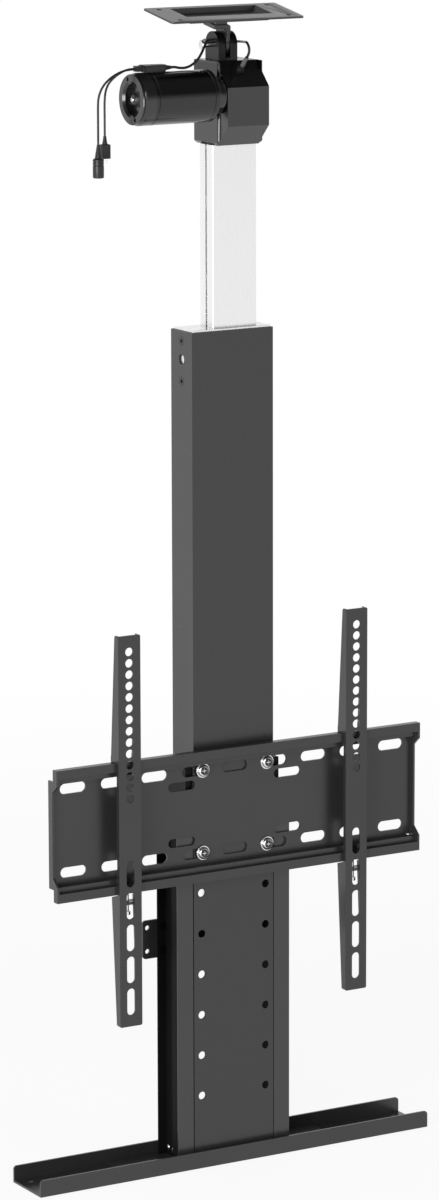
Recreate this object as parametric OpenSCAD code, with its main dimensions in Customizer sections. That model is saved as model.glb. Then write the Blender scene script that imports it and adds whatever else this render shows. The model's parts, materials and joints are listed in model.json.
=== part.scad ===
// Motorised TV lift: a floor channel with two guide rails, a rising column with a motor head,
// a slotted TV plate with two hook-on arms, and a small tilting plate on top.
// Millimetres. +Z up, +X to the right, +Y away from the TV. Origin: centre of the channel's underside.

/* [Floor channel] */
// Length of the floor channel
base_len = 502; // [430:2:620]
// Depth of the floor channel
base_depth = 64; // [60:1:90]
// Height of the floor channel
base_h = 19; // [14:1:30]
// Sheet thickness of the floor channel
base_t = 2.5; // [2:0.5:3]
// Distance from each end of the channel to its floor bolt holes
anchor_end = 14; // [9:1:40]
// Distance between the floor bolt holes across the channel
anchor_y = 34; // [24:1:40]
// Diameter of the floor bolt holes
anchor_d = 7; // [5:0.5:9]
// Length of the foot plate inside the channel
foot_len = 270; // [200:2:340]
// Thickness of the foot plate
foot_t = 3; // [2.5:0.5:5]

/* [Column] */
// Width of the rising column
col_w = 102; // [96:1:124]
// Depth of the rising column
col_d = 45; // [43:1:56]
// Length of the rising column
col_len = 928; // [800:4:1100]
// Wall of the rising column
col_t = 2; // [1.5:0.5:3]
// Width of the column's two back lips
col_lip = 12; // [8:1:16]
// Gap between the column and the foot plate when lowered
col_gap = 2.5; // [1:0.5:6]
// Distance between the two columns of holes
hole_x = 82; // [76:1:84]
// Distance from one hole to the next up the column
hole_pitch = 46.5; // [40:0.5:60]
// Height of the lowest hole above the floor
hole_z = 80.5; // [60:0.5:110]
// Holes in each column of holes
hole_rows = 9; // [9:1:12]
// Diameter of the column's holes
hole_d = 9; // [8.5:0.5:10]

/* [Guide rails] */
// Overall width across both guide rails
rail_w = 144; // [140:1:180]
// Length of the guide rails
rail_len = 394; // [340:2:460]
// Sheet thickness of the guide rails
rail_t = 2; // [1.5:0.5:2.5]
// Depth of each rail's front strip
rail_strip = 12.5; // [9:0.5:15]
// Length of the middle slides
stage_len = 415; // [360:5:440]
// Height of the lowered middle slides above the floor
stage_z = 40; // [38:1:60]
// Travel of the lift
lift_travel = 500; // [300:10:520]

/* [Clamp block] */
// Height of the clamp block inside the column's top
clamp_h = 66; // [50:1:90]
// How far the clamp block stands above the column
clamp_proud = 2; // [0:0.5:6]
// Distance from the column's top to the upper clamp screws
clamp_screw_drop = 11; // [8:0.5:16]
// Depth of the clamp screws in the block
clamp_screw_len = 14; // [8:1:16]
// Radius of the countersinks in the column's sides, and of the open hole between them
clamp_sink_r = 5.6; // [4.5:0.1:6.5]

/* [Wall bracket] */
// Width of the wall bracket
wall_w = 180; // [170:2:260]
// Height of the wall bracket
wall_h = 44; // [36:1:60]
// Height of the wall bracket's centre above the floor
wall_z = 255; // [150:5:350]
// Distance between the wall holes sideways
wall_hole_x = 168; // [160:1:240]
// Distance between the wall holes up and down
wall_hole_z = 27; // [20:1:32]
// Diameter of the wall holes
wall_hole_d = 5.5; // [4:0.5:7]

/* [Actuator] */
// Width of the aluminium tube
tube_w = 55; // [54:1:60]
// Depth of the aluminium tube
tube_d = 28; // [27:0.5:32]
// Sideways place of the tube's centre
tube_x = 8; // [4:0.5:10]
// Height of the tube's lower end above the floor
tube_z = 262; // [230:2:300]
// Length of the aluminium tube
tube_len = 874; // [820:2:960]
// Diameter of the steel lift rod
rod_d = 20; // [18:0.5:21]
// Diameter of the spindle
spindle_d = 12; // [10:0.5:13]
// Height of the gearbox
gear_h = 90; // [84:1:100]
// Width of the gearbox
gear_w = 56; // [56:1:64]
// Depth of the gearbox behind the tube's centre
gear_back = 27; // [26:1:34]

/* [Motor] */
// Diameter of the motor
motor_d = 56.4; // [54:0.2:57]
// Length of the motor can
motor_len = 81; // [70:1:100]
// Length of the motor's end cap
motor_cap = 13; // [12:1:20]
// Gap that the mounting collar spans between the gearbox and the motor
motor_neck = 12; // [8:1:18]

/* [TV plate] */
// Width of the TV plate
plate_w = 464; // [440:2:560]
// Height of the TV plate over its lips
plate_h = 147; // [140:1:170]
// Height of the TV plate's centre above the floor
plate_z = 404; // [400:1:410]
// Sheet thickness of the TV plate
plate_t = 2.5; // [2:0.5:3]
// Distance from the web's back to the front of the lips
plate_depth = 19; // [17:0.5:24]
// Height of each folded lip
lip_h = 10; // [8:0.5:12]
// Distance from one plate slot to the next
slot_pitch = 50.75; // [46:0.25:52]
// Length of the plate slots
slot_len = 32; // [24:1:36]
// Width of the plate slots
slot_w = 11.5; // [10:0.5:13]

/* [TV arms] */
// Length of the arms
arm_len = 436; // [420:2:480]
// Width of the arms
arm_w = 27.6; // [24:0.2:32]
// Sheet thickness of the arms
arm_t = 2; // [1.5:0.5:2.5]
// Distance between the two arms' hole lines
arm_spacing = 289; // [240:1:320]
// Height of the arms' lower ends above the floor
arm_z = 182; // [170:1:186]
// Greatest depth of the arms' side walls
arm_depth = 17.5; // [16.5:0.5:20]
// Depth of the arms' side walls at their ends
arm_end_depth = 8; // [6:0.5:12]
// Distance from one arm hole to the next
arm_pitch = 12.5; // [12:0.5:14]
// Diameter of the arm holes
arm_hole_d = 9.5; // [6:0.5:10]
// Holes in each arm
arm_holes = 14; // [8:1:14]
// Distance from one long arm slot to the next
arm_slot_pitch = 36; // [34:0.5:40]
// Length of the long arm slots
arm_slot_len = 30; // [20:1:30]
// Long slots in each arm
arm_slots = 5; // [3:1:5]

/* [Top plate] */
// Width of the top plate
top_w = 164; // [156:2:200]
// Depth of the top plate
top_d = 63.5; // [58:0.5:80]
// Depth of the dish pressed into the top plate
dish_h = 7.6; // [6:0.2:9]
// Width of the dish at its mouth
dish_w = 106; // [80:2:110]
// Depth of the dish's mouth from front to back
dish_d = 37; // [32:1:40]
// How far the dish's middle lies behind the plate's
dish_back = 6; // [2:0.5:6]
// Sheet thickness of the top plate
top_t = 2; // [1.5:0.5:2.5]
// Distance between the top plate's holes sideways
top_hole_x = 134; // [128:1:142]
// Distance between the top plate's holes from front to back
top_hole_y = 46; // [40:1:50]
// Diameter of the top plate's holes
top_hole_d = 5.5; // [4:0.5:7]
// Height of the top plate above its pivot pin
top_rise = 34.5; // [32:0.5:40]
// Forward tilt of the top plate as it is set
top_tilt = 10; // [0:1:20]

/* [Hidden] */

$fn = 48;
gap = 0.3;          // between pieces that slide past each other
fit = 0.05;         // radial clearance of a running or seated round fit
slack = 0.2;        // radial clearance of a screw in its hole
eps = 0.01;         // overrun of a cut past the face it opens
charcoal = [0.25, 0.255, 0.265];
dark_steel = [0.2, 0.2, 0.21];
zinc = [0.78, 0.79, 0.8];
alu = [0.9, 0.9, 0.91];
black = [0.06, 0.06, 0.065];
nylon = [0.14, 0.14, 0.145];

// Levels and faces shared by the fixed pieces
anchor_x = base_len - 2 * anchor_end;
foot_top = base_t + foot_t;
col_z0 = foot_top + col_gap;
col_z1 = col_z0 + col_len;
col_front = -col_d / 2;
rail_front = col_front + gap;
rail_back = col_d / 2 + 1;
rail_z1 = foot_top + rail_len;
rail_out = rail_w / 2;
lip_gap = 1;                                    // slit between a rail's lip and the column
lip_in = col_w / 2 + lip_gap;
rail_web = col_w / 2 + 9;                       // inner face of each rail's web
ear_t = 3;
ear_h = 26;
ear_y0 = -8;
ear_y1 = 21;
foot_screw_d = 4;
foot_screw_at = [[16.5, 14], [5, 13]];          // y and height above the floor

clamp_screw_r = 2.5;
clamp_socket = 4;          // across the flats of the clamp screws' sockets
clamp_socket_depth = 1.8;

// Middle slides and the column's runners
stage_t = 1.7;
stage_out = rail_web - gap;
stage_in = col_w / 2 + 0.6;
stage_y = col_d / 2 - rail_t + 0.1;             // half depth of a middle slide
stage_mid_y = (rail_back + rail_front) / 2 - 0.1;
glide_t = 4.6;
glide_len = 60;
runner_out = stage_out - stage_t - 0.8;
runner_y = stage_y - stage_t - glide_t - gap;   // half depth of a runner
runner_z0 = stage_z;
runner_len = stage_len - 5;

// Actuator
tube_z1 = tube_z + tube_len;
tube_t = 2.5;
tslot_w = 3.2;
tslot_in = 7;
tslot_depth = 6;
rod_r = rod_d / 2;
rod_wall = 1.8;
rod_pin_z = 30;
rod_pin_d = 8;
rod_in_tube = 108;                              // rod still inside the tube at full height
rod_top = tube_z + lift_travel + rod_in_tube;
rod_neck_z = 42;
rod_plug_top = 54;
lug_w = 16;
lug_r = 9;
nut_len = 30;
nut_flange = 5;
spindle_r = spindle_d / 2;
spindle_z0 = rod_top - nut_len - lift_travel - 20;
bush_len = 28;
bush_flange = 6;

// Gearbox and motor
gear_z = tube_z1;
gear_top = gear_z + gear_h;
gear_x0 = tube_x - gear_w / 2;
gear_x1 = tube_x + gear_w / 2;
gear_front = -28;
nose_front = -43.5;
nose_z0 = gear_z + 22;
nose_z1 = gear_top - 26.5;
under_y = -21.5;
slope_top_y = -17.5;
cheek = 2.3;
split_z = nose_z1;
worm_y = -26;
worm_z = gear_top - 35;
worm_r = 7;
wheel_r = -worm_y - worm_r - 0.4;
wheel_h = 14;
bearing_r = 13;
bearing_z = gear_z + 10;
bearing_h = 9;
cavity_r = wheel_r + 1.6;
journal_top = split_z + 6;
shaft_r = 3;
motor_r = motor_d / 2;
can_x1 = gear_x0 - motor_neck;
can_x0 = can_x1 - motor_len;
cap_x0 = can_x0 - motor_cap;
can_t = 2;
collar_r = 20;
armature_r = 13.5;
magnet_in = 16.5;

// Pivot and top plate
pin_z = gear_top + 17;
ear_r = 14;
fork_out = 11.8;
slot_half = 3.2;                                 // half width of the slot between the fork's prongs
fork_base = 3;
fork_screw_at = [for (x = [-7.5, 7.5], y = [-10.4, 10.4]) [x, y]];
fork_screw_seat = gear_top - 8;
fork_screw_top = gear_top + 8;
pin_r = 3;
leg_t = 4;
leg_r = 13;
leg_out = slot_half - gap;                       // right face of the bracket's leg
leg_half_y = 12;
flange_x0 = -17.5;
flange_h = 4.6;
spacer_h = 3.1;                                  // pad between the bracket's flange and the dish
spacer_inset = 2;

// TV plate
web_y = col_front;                               // back face of the plate's web
plate_front = web_y - plate_depth;
plate_z0 = plate_z - plate_h / 2;
plate_z1 = plate_z + plate_h / 2;
hem_depth = 8.5;
hem_h = 13.5;
web_z0 = plate_z0 + hem_h;
web_z1 = plate_z1 - hem_h;
low_row = hole_z + 6 * hole_pitch;
high_row = hole_z + 8 * hole_pitch;
inner_slot_x = 67.5;
inner_slot_len = 34;
inner_slot_w = 10;
inner_slot_up = 15;
bolt_r = 4;
nut_h = 6.5;
washer_r = 8.2;
washer_t = 1.6;
head_r = 6.8;
head_h = 3.6;

// Arms
arm_face = plate_front - 0.4 - 3 - arm_t;        // front face of the arms
arm_z1 = arm_z + arm_len;
arm_hole_top = 18;                               // top hole below the arm's upper end
arm_slot_w = 10;
arm_slot_z = 12.8;                               // lowest slot's lower end above the arm's lower end
lock_z = plate_z0 - 12;
lock_r = 2.5;
lock_y = plate_front + 4;
hook_t = 3.5;

// Cable gland, square to the gearbox's sloping top
slope = (gear_top - nose_z1) / (slope_top_y - nose_front);
gland_y = -27;
gland_at = [7, gland_y, gear_top - slope * (slope_top_y - gland_y)];
gland_lean = atan(slope);
gland_root = 5;                                  // how deep it sits in the cover
gland_r = 2.9;
gland_len = 8;
sleeve_len = 13;
gland_axis = [0, -sin(gland_lean), cos(gland_lean)];
gland_end = gland_at + (gland_len + sleeve_len) * gland_axis;

// Cables. The routes are points along each cable's middle, from the height of the gearbox's top.
cable_d = 2.8;
lead_d = 2.4;
power_route = [[7, -46.7, 12.2], [7, -45.5, 17.2], [7.6, -41.5, 20.2], [9.4, -36.5, 20.8],
  [12.4, -30.5, 20.4], [16, -23, 19.8], [19.4, -15, 19.2], [22.4, -7, 18.7], [24.2, 1.5, 18.3],
  [23.6, 10, 18], [19.3, 17, 17.8], [12, 21, 17.7], [4, 22.2, 17.7], [-4, 21.2, 17.9],
  [-10.9, 17.3, 18.9], [-15.6, 10.9, 20.6], [-18.4, 3.6, 21.7], [-21, -3.4, 21.5],
  [-25.2, -9.4, 18.9], [-30.4, -14.4, 14.4], [-36, -18.6, 8.9], [-42.4, -21.8, 3.3],
  [-49.8, -23.6, -1.3], [-57.6, -24, -4.1], [-65, -24, -4.2], [-72, -24, -3], [-76, -24, -3]];
plug_route = [[-120, -21.8, -3], [-123, -21.8, -3], [-128.5, -20, -4], [-133.5, -16.5, -7],
  [-137.5, -12, -11.2], [-140.5, -7, -16.4], [-142, -2.5, -22.4], [-142.5, 0.5, -29],
  [-142.5, 2, -35.8], [-142.5, 2.5, -42.5], [-142.5, 2.5, -49], [-142.5, 2.5, -55.5],
  [-142.5, 2.5, -62], [-142.5, 2.5, -68.5], [-142.5, 2.5, -75]];
socket_route = [[-120, -26.2, -3], [-123, -26.2, -3], [-129.5, -27.4, -3.2], [-136.5, -28.6, -4],
  [-143.5, -28.8, -6.2], [-150, -28.2, -9.6], [-155.5, -27.2, -14], [-160, -26, -19.4],
  [-163, -25, -25.6], [-164.6, -24.2, -32.2], [-165, -23.8, -39], [-165, -23.6, -46],
  [-165, -23.6, -53], [-165, -23.6, -60], [-165, -23.6, -67], [-165, -23.6, -74],
  [-165, -23.6, -81]];
split_x0 = -111;
split_x1 = -85;
split_y = -24;
split_half_h = 3.7;
route_cap_x = -126;                              // the motor's left end that the routes are drawn for
route_motor_r = 28.2;

// How far a point has gone from the gearbox out over the motor, 0 to 1
function over_motor(p) = min(1, max(0, (-20 - p[0]) / 50));
// A route's point in the part's frame, following the motor's left end and top
function placed(p) = p + [0, 0, gear_top]
  + over_motor(p) * [cap_x0 - route_cap_x, 0, motor_r - route_motor_r];
power_path = concat([gland_end, gland_end + 3.2 * gland_axis], [for (p = power_route) placed(p)]);
plug_path = [for (p = plug_route) placed(p)];
socket_path = [for (p = socket_route) placed(p)];

// Helpers

module block(low, high) {
  translate(low) cube(high - low);
}

module both_sides() {
  children();
  mirror([1, 0, 0]) children();
}

// A rod of radius r along X
module rod_x(x0, x1, r, at = [0, 0]) {
  translate([x0, at[0], at[1]]) rotate([0, 90, 0]) cylinder(h = x1 - x0, r = r);
}

// A rod of radius r along Y
module rod_y(y0, y1, r, at = [0, 0]) {
  translate([at[0], y1, at[1]]) rotate([90, 0, 0]) cylinder(h = y1 - y0, r = r);
}

// A rod of radius r along Z
module rod_z(z0, z1, r, at = [0, 0]) {
  translate([at[0], at[1], z0]) cylinder(h = z1 - z0, r = r);
}

// A flat outline of [x, z] points, extruded along Y from y0 to y1
module wall_xz(y0, y1) {
  translate([0, y1, 0]) rotate([90, 0, 0]) linear_extrude(y1 - y0) children();
}

// A flat outline of [y, z] points, extruded along X from x0 to x1
module wall_yz(x0, x1) {
  translate([x0, 0, 0]) rotate([90, 0, 90]) linear_extrude(x1 - x0) children();
}

module round_rect(w, h, r) {
  square([w - 2 * r, h], center = true);
  square([w, h - 2 * r], center = true);
  for (sx = [-1, 1], sy = [-1, 1])
    translate([sx * (w / 2 - r), sy * (h / 2 - r)]) circle(r);
}

module slot_x(len, w) {
  square([len - w, w], center = true);
  for (s = [-1, 1]) translate([s * (len - w) / 2, 0]) circle(w / 2);
}

module slot_z(len, w) {
  rotate(90) slot_x(len, w);
}

module hex(across, h) {
  cylinder(h = h, r = across / sqrt(3), $fn = 6);
}

function unit(v) = v / norm(v);
function tangent(p, i) = unit(p[min(i + 1, len(p) - 1)] - p[max(i - 1, 0)]);
// Side vectors square to the cable, carried from ring to ring without a twist
function side(t, s) = unit(s - t * (t * s));
function sides(p, i, s) = i == len(p) ? []
  : let (now = side(tangent(p, i), s)) concat([now], sides(p, i + 1, now));

// One tube along the points p
module swept_tube(p, d, ring = 8, start = [0, 0, 1]) {
  across = sides(p, 0, start);
  rings = [for (i = [0:len(p) - 1], k = [0:ring - 1])
    let (t = tangent(p, i), a = across[i], b = cross(t, a), turn = 360 * k / ring)
    p[i] + d / 2 * (a * cos(turn) + b * sin(turn))];
  last = (len(p) - 1) * ring;
  skin = [for (i = [0:len(p) - 2], k = [0:ring - 1], half = [0, 1])
    let (here = i * ring, next = here + ring, m = (k + 1) % ring)
    half == 0 ? [here + k, next + k, here + m] : [here + m, next + k, next + m]];
  ends = [for (k = [1:ring - 2], far = [0, 1])
    far == 0 ? [0, k, k + 1] : [last, last + k + 1, last + k]];
  polyhedron(points = rings, faces = concat(skin, ends), convexity = 6);
}

// Floor channel and rails

module base_channel() {
  r = 4;
  color(charcoal) difference() {
    intersection() {
      block([-base_len / 2, -base_depth / 2, 0], [base_len / 2, base_depth / 2, base_h]);
      wall_xz(-base_depth, base_depth) union() {
        translate([-base_len / 2, 0]) square([base_len, base_h - r]);
        translate([-base_len / 2 + r, 0]) square([base_len - 2 * r, base_h]);
        for (s = [-1, 1]) translate([s * (base_len / 2 - r), base_h - r]) circle(r);
      }
    }
    block([-base_len, -base_depth / 2 + base_t, base_t], [base_len, base_depth / 2 - base_t, base_h + 1]);
    for (sx = [-1, 1], sy = [-1, 1])
      rod_z(-1, base_t + 1, anchor_d / 2, [sx * anchor_x / 2, sy * anchor_y / 2]);
  }
}

module foot_plate() {
  half_y = base_depth / 2 - base_t - gap;
  color(charcoal) difference() {
    union() {
      block([-foot_len / 2, -half_y, base_t], [foot_len / 2, half_y, foot_top]);
      both_sides() block([rail_web - ear_t, ear_y0, foot_top], [rail_web, ear_y1, foot_top + ear_h]);
    }
    both_sides() for (at = foot_screw_at)
      rod_x(rail_web - ear_t - 1, rail_web + 1, foot_screw_d / 2 + slack, at);
  }
}

module rail_profile() {
  step_y = rail_front + rail_strip;
  translate([lip_in, rail_front]) square([rail_out - lip_in, rail_t]);
  translate([rail_out - rail_t, rail_front]) square([rail_t, rail_strip]);
  translate([rail_web, step_y - rail_t]) square([rail_out - rail_web, rail_t]);
  translate([rail_web, step_y - rail_t]) square([rail_t, rail_back - step_y + rail_t]);
  translate([lip_in, rail_back - rail_t]) square([rail_out - lip_in, rail_t]);
}

module guide_rail() {
  color(charcoal) difference() {
    translate([0, 0, foot_top]) linear_extrude(rail_len) rail_profile();
    for (at = foot_screw_at) rod_x(rail_web - 1, rail_web + rail_t + 1, foot_screw_d / 2 + slack, at);
    for (s = [-1, 1])
      rod_y(rail_back - rail_t - 1, rail_back + 1, 2 + slack, [rail_out - 5, wall_z + s * wall_hole_z / 2]);
  }
}

module guide_rail_left() {
  mirror([1, 0, 0]) guide_rail();
}

module guide_rail_right() {
  guide_rail();
}

module wall_bracket() {
  color(charcoal) difference() {
    wall_xz(rail_back, rail_back + base_t) translate([0, wall_z]) round_rect(wall_w, wall_h, 4);
    for (sx = [-1, 1], sz = [-1, 1]) {
      z = wall_z + sz * wall_hole_z / 2;
      rod_y(rail_back - 1, rail_back + base_t + 1, wall_hole_d / 2, [sx * wall_hole_x / 2, z]);
      rod_y(rail_back - 1, rail_back + base_t + 1, 2 + fit, [sx * (rail_out - 5), z]);
    }
  }
}

module bracket_screws() {
  color(zinc) both_sides() for (s = [-1, 1]) {
    at = [rail_out - 5, wall_z + s * wall_hole_z / 2];
    rod_y(rail_back - rail_t, rail_back + base_t, 2, at);
    rod_y(rail_back - rail_t - 2, rail_back - rail_t, 3.6, at);
  }
}

module foot_screws() {
  color(zinc) both_sides() for (at = foot_screw_at) {
    rod_x(rail_web - ear_t - 2, rail_web + rail_t, foot_screw_d / 2, at);
    rod_x(rail_web + rail_t, rail_web + rail_t + 2.2, 3.3, at);
  }
}

module rod_foot() {
  half_base = lug_w / 2 + gap + 3 + 9;
  color(dark_steel) difference() {
    union() {
      block([tube_x - half_base, -15, foot_top], [tube_x + half_base, 15, foot_top + 3]);
      for (s = [-1, 1]) translate([tube_x + s * (lug_w / 2 + gap + 1.5), 0, 0])
        wall_yz(-1.5, 1.5) union() {
          translate([-10, foot_top]) square([20, rod_pin_z - foot_top]);
          translate([0, rod_pin_z]) circle(10);
        }
    }
    rod_x(tube_x - 20, tube_x + 20, rod_pin_d / 2 + fit, [0, rod_pin_z]);
  }
}

module rod_pin() {
  half = lug_w / 2 + gap + 3 + 2;
  color(zinc) {
    rod_x(tube_x - half, tube_x + half, rod_pin_d / 2, [0, rod_pin_z]);
    rod_x(tube_x + half, tube_x + half + 2, rod_pin_d / 2 + 2, [0, rod_pin_z]);
  }
}

module lift_rod() {
  color(zinc) difference() {
    union() {
      rod_z(rod_neck_z, rod_top, rod_r, [tube_x, 0]);
      block([tube_x - lug_w / 2, -lug_r, rod_pin_z], [tube_x + lug_w / 2, lug_r, rod_neck_z]);
      rod_x(tube_x - lug_w / 2, tube_x + lug_w / 2, lug_r, [0, rod_pin_z]);
    }
    rod_z(rod_plug_top, rod_top + 1, rod_r - rod_wall, [tube_x, 0]);
    rod_x(tube_x - lug_w, tube_x + lug_w, rod_pin_d / 2 + fit, [0, rod_pin_z]);
  }
}

module spindle_nut() {
  color("peru") difference() {
    union() {
      rod_z(rod_top - nut_len, rod_top, rod_r - rod_wall - fit, [tube_x, 0]);
      rod_z(rod_top, rod_top + nut_flange, rod_r, [tube_x, 0]);
    }
    rod_z(rod_top - nut_len - 1, rod_top + nut_flange + 1, spindle_r + fit, [tube_x, 0]);
  }
}

// Middle slides

module slide_stage() {
  color(dark_steel) translate([0, stage_mid_y, stage_z]) linear_extrude(stage_len) difference() {
    translate([stage_in, -stage_y]) square([stage_out - stage_in, 2 * stage_y]);
    translate([stage_in - 1, stage_t - stage_y])
      square([stage_out - stage_in - stage_t + 1, 2 * (stage_y - stage_t)]);
  }
}

module slide_stage_left() {
  mirror([1, 0, 0]) slide_stage();
}

module slide_stage_right() {
  slide_stage();
}

module stage_glides() {
  y1 = stage_y - stage_t;
  x0 = stage_in + gap;
  color(nylon) translate([0, stage_mid_y, 0]) for (z = [stage_z, stage_z + stage_len - glide_len], s = [0, 1])
    mirror([0, s]) block([x0, y1 - glide_t, z], [stage_out - stage_t, y1, z + glide_len]);
}

module stage_glides_left() {
  mirror([1, 0, 0]) stage_glides();
}

module stage_glides_right() {
  stage_glides();
}

// Rising column

module column_profile() {
  difference() {
    square([col_w, col_d], center = true);
    square([col_w - 2 * col_t, col_d - 2 * col_t], center = true);
    translate([-col_w / 2 + col_lip, 0]) square([col_w - 2 * col_lip, col_d]);
  }
}

clamp_z0 = col_z1 - clamp_h;
clamp_z1 = col_z1 + clamp_proud;
clamp_screw_z = [col_z1 - clamp_screw_drop, col_z1 - clamp_h + clamp_screw_drop];
clamp_hole_z = col_z1 - 0.47 * clamp_h;

// A cone through the column's wall, r_in at its inner face and r_out at its outer face
module clamp_sink(z, r_out, r_in) {
  translate([col_w / 2 - col_t, 0, z]) rotate([0, 90, 0]) cylinder(h = col_t, r1 = r_in, r2 = r_out);
}

module inner_column() {
  color(charcoal) difference() {
    translate([0, 0, col_z0]) linear_extrude(col_len) column_profile();
    for (s = [-1, 1], k = [0:hole_rows - 1])
      rod_y(col_front - 1, col_front + col_t + 1, hole_d / 2, [s * hole_x / 2, hole_z + k * hole_pitch]);
    both_sides() for (z = clamp_screw_z) {
      rod_x(0, col_w, clamp_screw_r + slack, [0, z]);
      clamp_sink(z, clamp_sink_r, clamp_screw_r + slack);
    }
    rod_x(-col_w, col_w, clamp_sink_r, [0, clamp_hole_z]);
  }
}

module column_runner() {
  color(dark_steel) block([col_w / 2, -runner_y + stage_mid_y, runner_z0],
    [runner_out, runner_y + stage_mid_y, runner_z0 + runner_len]);
}

module column_runner_left() {
  mirror([1, 0, 0]) column_runner();
}

module column_runner_right() {
  column_runner();
}

module clamp_block() {
  half_x = col_w / 2 - col_t;
  half_y = col_d / 2 - col_t;
  color(alu) difference() {
    block([-half_x, -half_y, clamp_z0], [half_x, half_y, clamp_z1]);
    block([tube_x - tube_w / 2, -tube_d / 2, clamp_z0 - 1], [tube_x + tube_w / 2, tube_d / 2, clamp_z1 + 1]);
    for (z = clamp_screw_z) both_sides()
      rod_x(half_x - clamp_screw_len, half_x + 1, clamp_screw_r + fit, [0, z]);
  }
}

module clamp_screws() {
  half_x = col_w / 2;
  color(dark_steel) both_sides() for (z = clamp_screw_z) difference() {
    union() {
      rod_x(half_x - col_t - clamp_screw_len + 1, half_x - col_t, clamp_screw_r, [0, z]);
      clamp_sink(z, clamp_sink_r - slack, clamp_screw_r);
    }
    translate([half_x - clamp_socket_depth, 0, z]) rotate([0, 90, 0]) hex(clamp_socket, col_t + 1);
  }
}

// Actuator

module tube_profile() {
  groove = tube_w / 2 - tube_t;
  difference() {
    round_rect(tube_w, tube_d, 1.5);
    square([tube_w - 2 * (tslot_depth + tube_t), tube_d - 2 * tube_t], center = true);
    for (s = [-1, 1]) {
      translate([s * tube_w / 2, 0]) square([2 * tube_t, tslot_w], center = true);
      translate([s * (groove - (tslot_depth - tube_t) / 2), 0])
        square([tslot_depth - tube_t, tslot_in], center = true);
    }
  }
}

module actuator_tube() {
  color(alu) translate([tube_x, 0, tube_z]) linear_extrude(tube_len) tube_profile();
}

module tube_end_bush() {
  w = tube_w - 2 * (tslot_depth + tube_t) - 2 * fit;
  d = tube_d - 2 * tube_t - 2 * fit;
  color(black) difference() {
    union() {
      block([tube_x - w / 2, -d / 2, tube_z - eps], [tube_x + w / 2, d / 2, tube_z + bush_len]);
      translate([tube_x, 0, tube_z - bush_flange]) linear_extrude(bush_flange)
        round_rect(tube_w, tube_d, 1.5);
    }
    rod_z(tube_z - bush_flange - 1, tube_z + bush_len + 1, rod_r + fit, [tube_x, 0]);
  }
}

module limit_strip() {
  x1 = tube_x + tube_w / 2 - tslot_depth - tube_t;
  color("seagreen") {
    block([x1 - 1.6, -6, tube_z + bush_len + 2], [x1, 6, tube_z1 - 10]);
    for (z = [tube_z + bush_len + 12, tube_z1 - 60])
      block([x1 - 6.5, -4, z], [x1 - 1.6, 4, z + 20]);
  }
}

// Gearbox. A narrower nose stands out of the body's front, with a sloping top and underside.
module gear_body() {
  low = gear_x0 + cheek;
  high = gear_x1 - cheek;
  difference() {
    intersection() {
      translate([tube_x, (gear_back + gear_front) / 2, gear_z])
        linear_extrude(gear_h) round_rect(gear_w, gear_back - gear_front, 3.5);
      wall_yz(gear_x0 - 1, gear_x1 + 1) polygon([[gear_back - 4, gear_z], [gear_back + 1, gear_z + 5],
        [gear_back + 1, gear_top - 3], [gear_back - 2, gear_top], [gear_front + 2, gear_top],
        [gear_front - 1, gear_top - 3], [gear_front - 1, gear_z + 7.5], [under_y, gear_z]]);
      wall_xz(-base_depth, base_depth) polygon([[gear_x0 + 3, gear_z], [gear_x0 - 1, gear_z + 4],
        [gear_x0 - 1, gear_top - 2.5], [gear_x0 + 1.5, gear_top], [gear_x1 - 1.5, gear_top],
        [gear_x1 + 1, gear_top - 2.5], [gear_x1 + 1, gear_z + 4], [gear_x1 - 3, gear_z]]);
    }
    wall_yz(low, high) polygon([[slope_top_y, gear_top], [nose_front, nose_z1],
      [nose_front, gear_top + 1], [slope_top_y, gear_top + 1]]);
  }
  wall_yz(low, high) polygon([[slope_top_y, gear_top], [nose_front, nose_z1], [nose_front, nose_z0],
    [under_y, gear_z + eps], [slope_top_y, gear_z + eps]]);
}

gear_screw_at = [[gear_x0 + 6, gear_back - 6], [gear_x1 - 6, gear_back - 6],
  [gear_x0 + 5.5, -9], [gear_x1 - 5.5, -9]];

module gearbox_housing() {
  color(charcoal) difference() {
    intersection() {
      gear_body();
      block([gear_x0 - 1, nose_front - 1, gear_z], [gear_x1 + 1, gear_back + 1, split_z]);
    }
    rod_z(gear_z - 1, bearing_z + 1, spindle_r + 2, [tube_x, 0]);
    rod_z(bearing_z, bearing_z + bearing_h + 2, bearing_r + fit, [tube_x, 0]);
    rod_z(bearing_z + bearing_h + 1, split_z + 1, cavity_r, [tube_x, 0]);
    rod_x(gear_x0 + 4, gear_x1 - 4, worm_r + 2, [worm_y, worm_z]);
    rod_x(gear_x0 - 1, gear_x0 + 5, shaft_r + fit, [worm_y, worm_z]);
    for (at = gear_screw_at) rod_z(split_z - 16, split_z + 1, 2 + fit, at);
  }
}

module gearbox_cover() {
  color(charcoal) difference() {
    intersection() {
      gear_body();
      block([gear_x0 - 1, nose_front - 1, split_z], [gear_x1 + 1, gear_back + 1, gear_top]);
    }
    rod_z(split_z - 1, split_z + 10, spindle_r + fit, [tube_x, 0]);
    rod_x(gear_x0 + 4, gear_x1 - 4, worm_r + 2, [worm_y, worm_z]);
    for (at = gear_screw_at) {
      rod_z(split_z - 1, gear_top + 1, 2 + slack, at);
      rod_z(gear_top - 3, gear_top + 1, 4, at);
    }
    for (at = fork_screw_at) {
      rod_z(split_z - 1, gear_top + 1, 2 + slack, at);
      rod_z(split_z - 1, fork_screw_seat, 4, at);
    }
    gland_place() translate([0, 0, -gland_root - 1]) cylinder(h = gland_root + 2, r = gland_r + fit);
  }
}

module gearbox_screws() {
  color(zinc) for (at = gear_screw_at) {
    rod_z(split_z - 15, gear_top - 3, 2, at);
    rod_z(gear_top - 3, gear_top - 0.4, 3.6, at);
  }
}

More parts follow.
